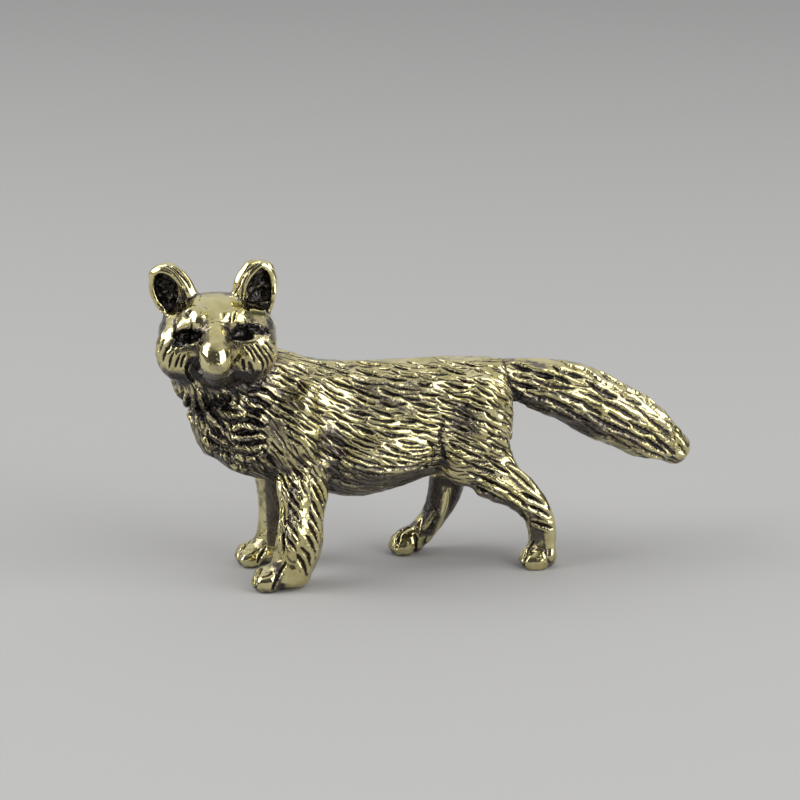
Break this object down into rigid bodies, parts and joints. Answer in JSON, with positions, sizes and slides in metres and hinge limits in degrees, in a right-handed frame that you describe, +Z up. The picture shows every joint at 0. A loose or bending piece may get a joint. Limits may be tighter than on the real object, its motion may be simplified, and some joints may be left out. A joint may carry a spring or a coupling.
{
  "type": "fox figurine",
  "caption": "Small solid brass fox in mid-stride, head turned to its left, with cupped upright ears, a long bushy tail and fur carved all over.",
  "frame": {"origin": "on the floor under the middle of the figure's box", "axes": "+Z up, +X from the head towards the tail along the body, -Y out of the fox's left side, which the face looks towards"},
  "size_m": [0.0624, 0.018, 0.037],
  "materials": {
    "antique_brass": "polished on the raised fur, with dark patina in the carved strokes"
  },
  "bodies": {
    "root": {"torso": "antique_brass", "head": "antique_brass", "left_ear": "antique_brass", "right_ear": "antique_brass", "tail": "antique_brass", "front_left_leg": "antique_brass", "front_right_leg": "antique_brass", "hind_left_leg": "antique_brass", "hind_right_leg": "antique_brass"}
  },
  "joints": []
}
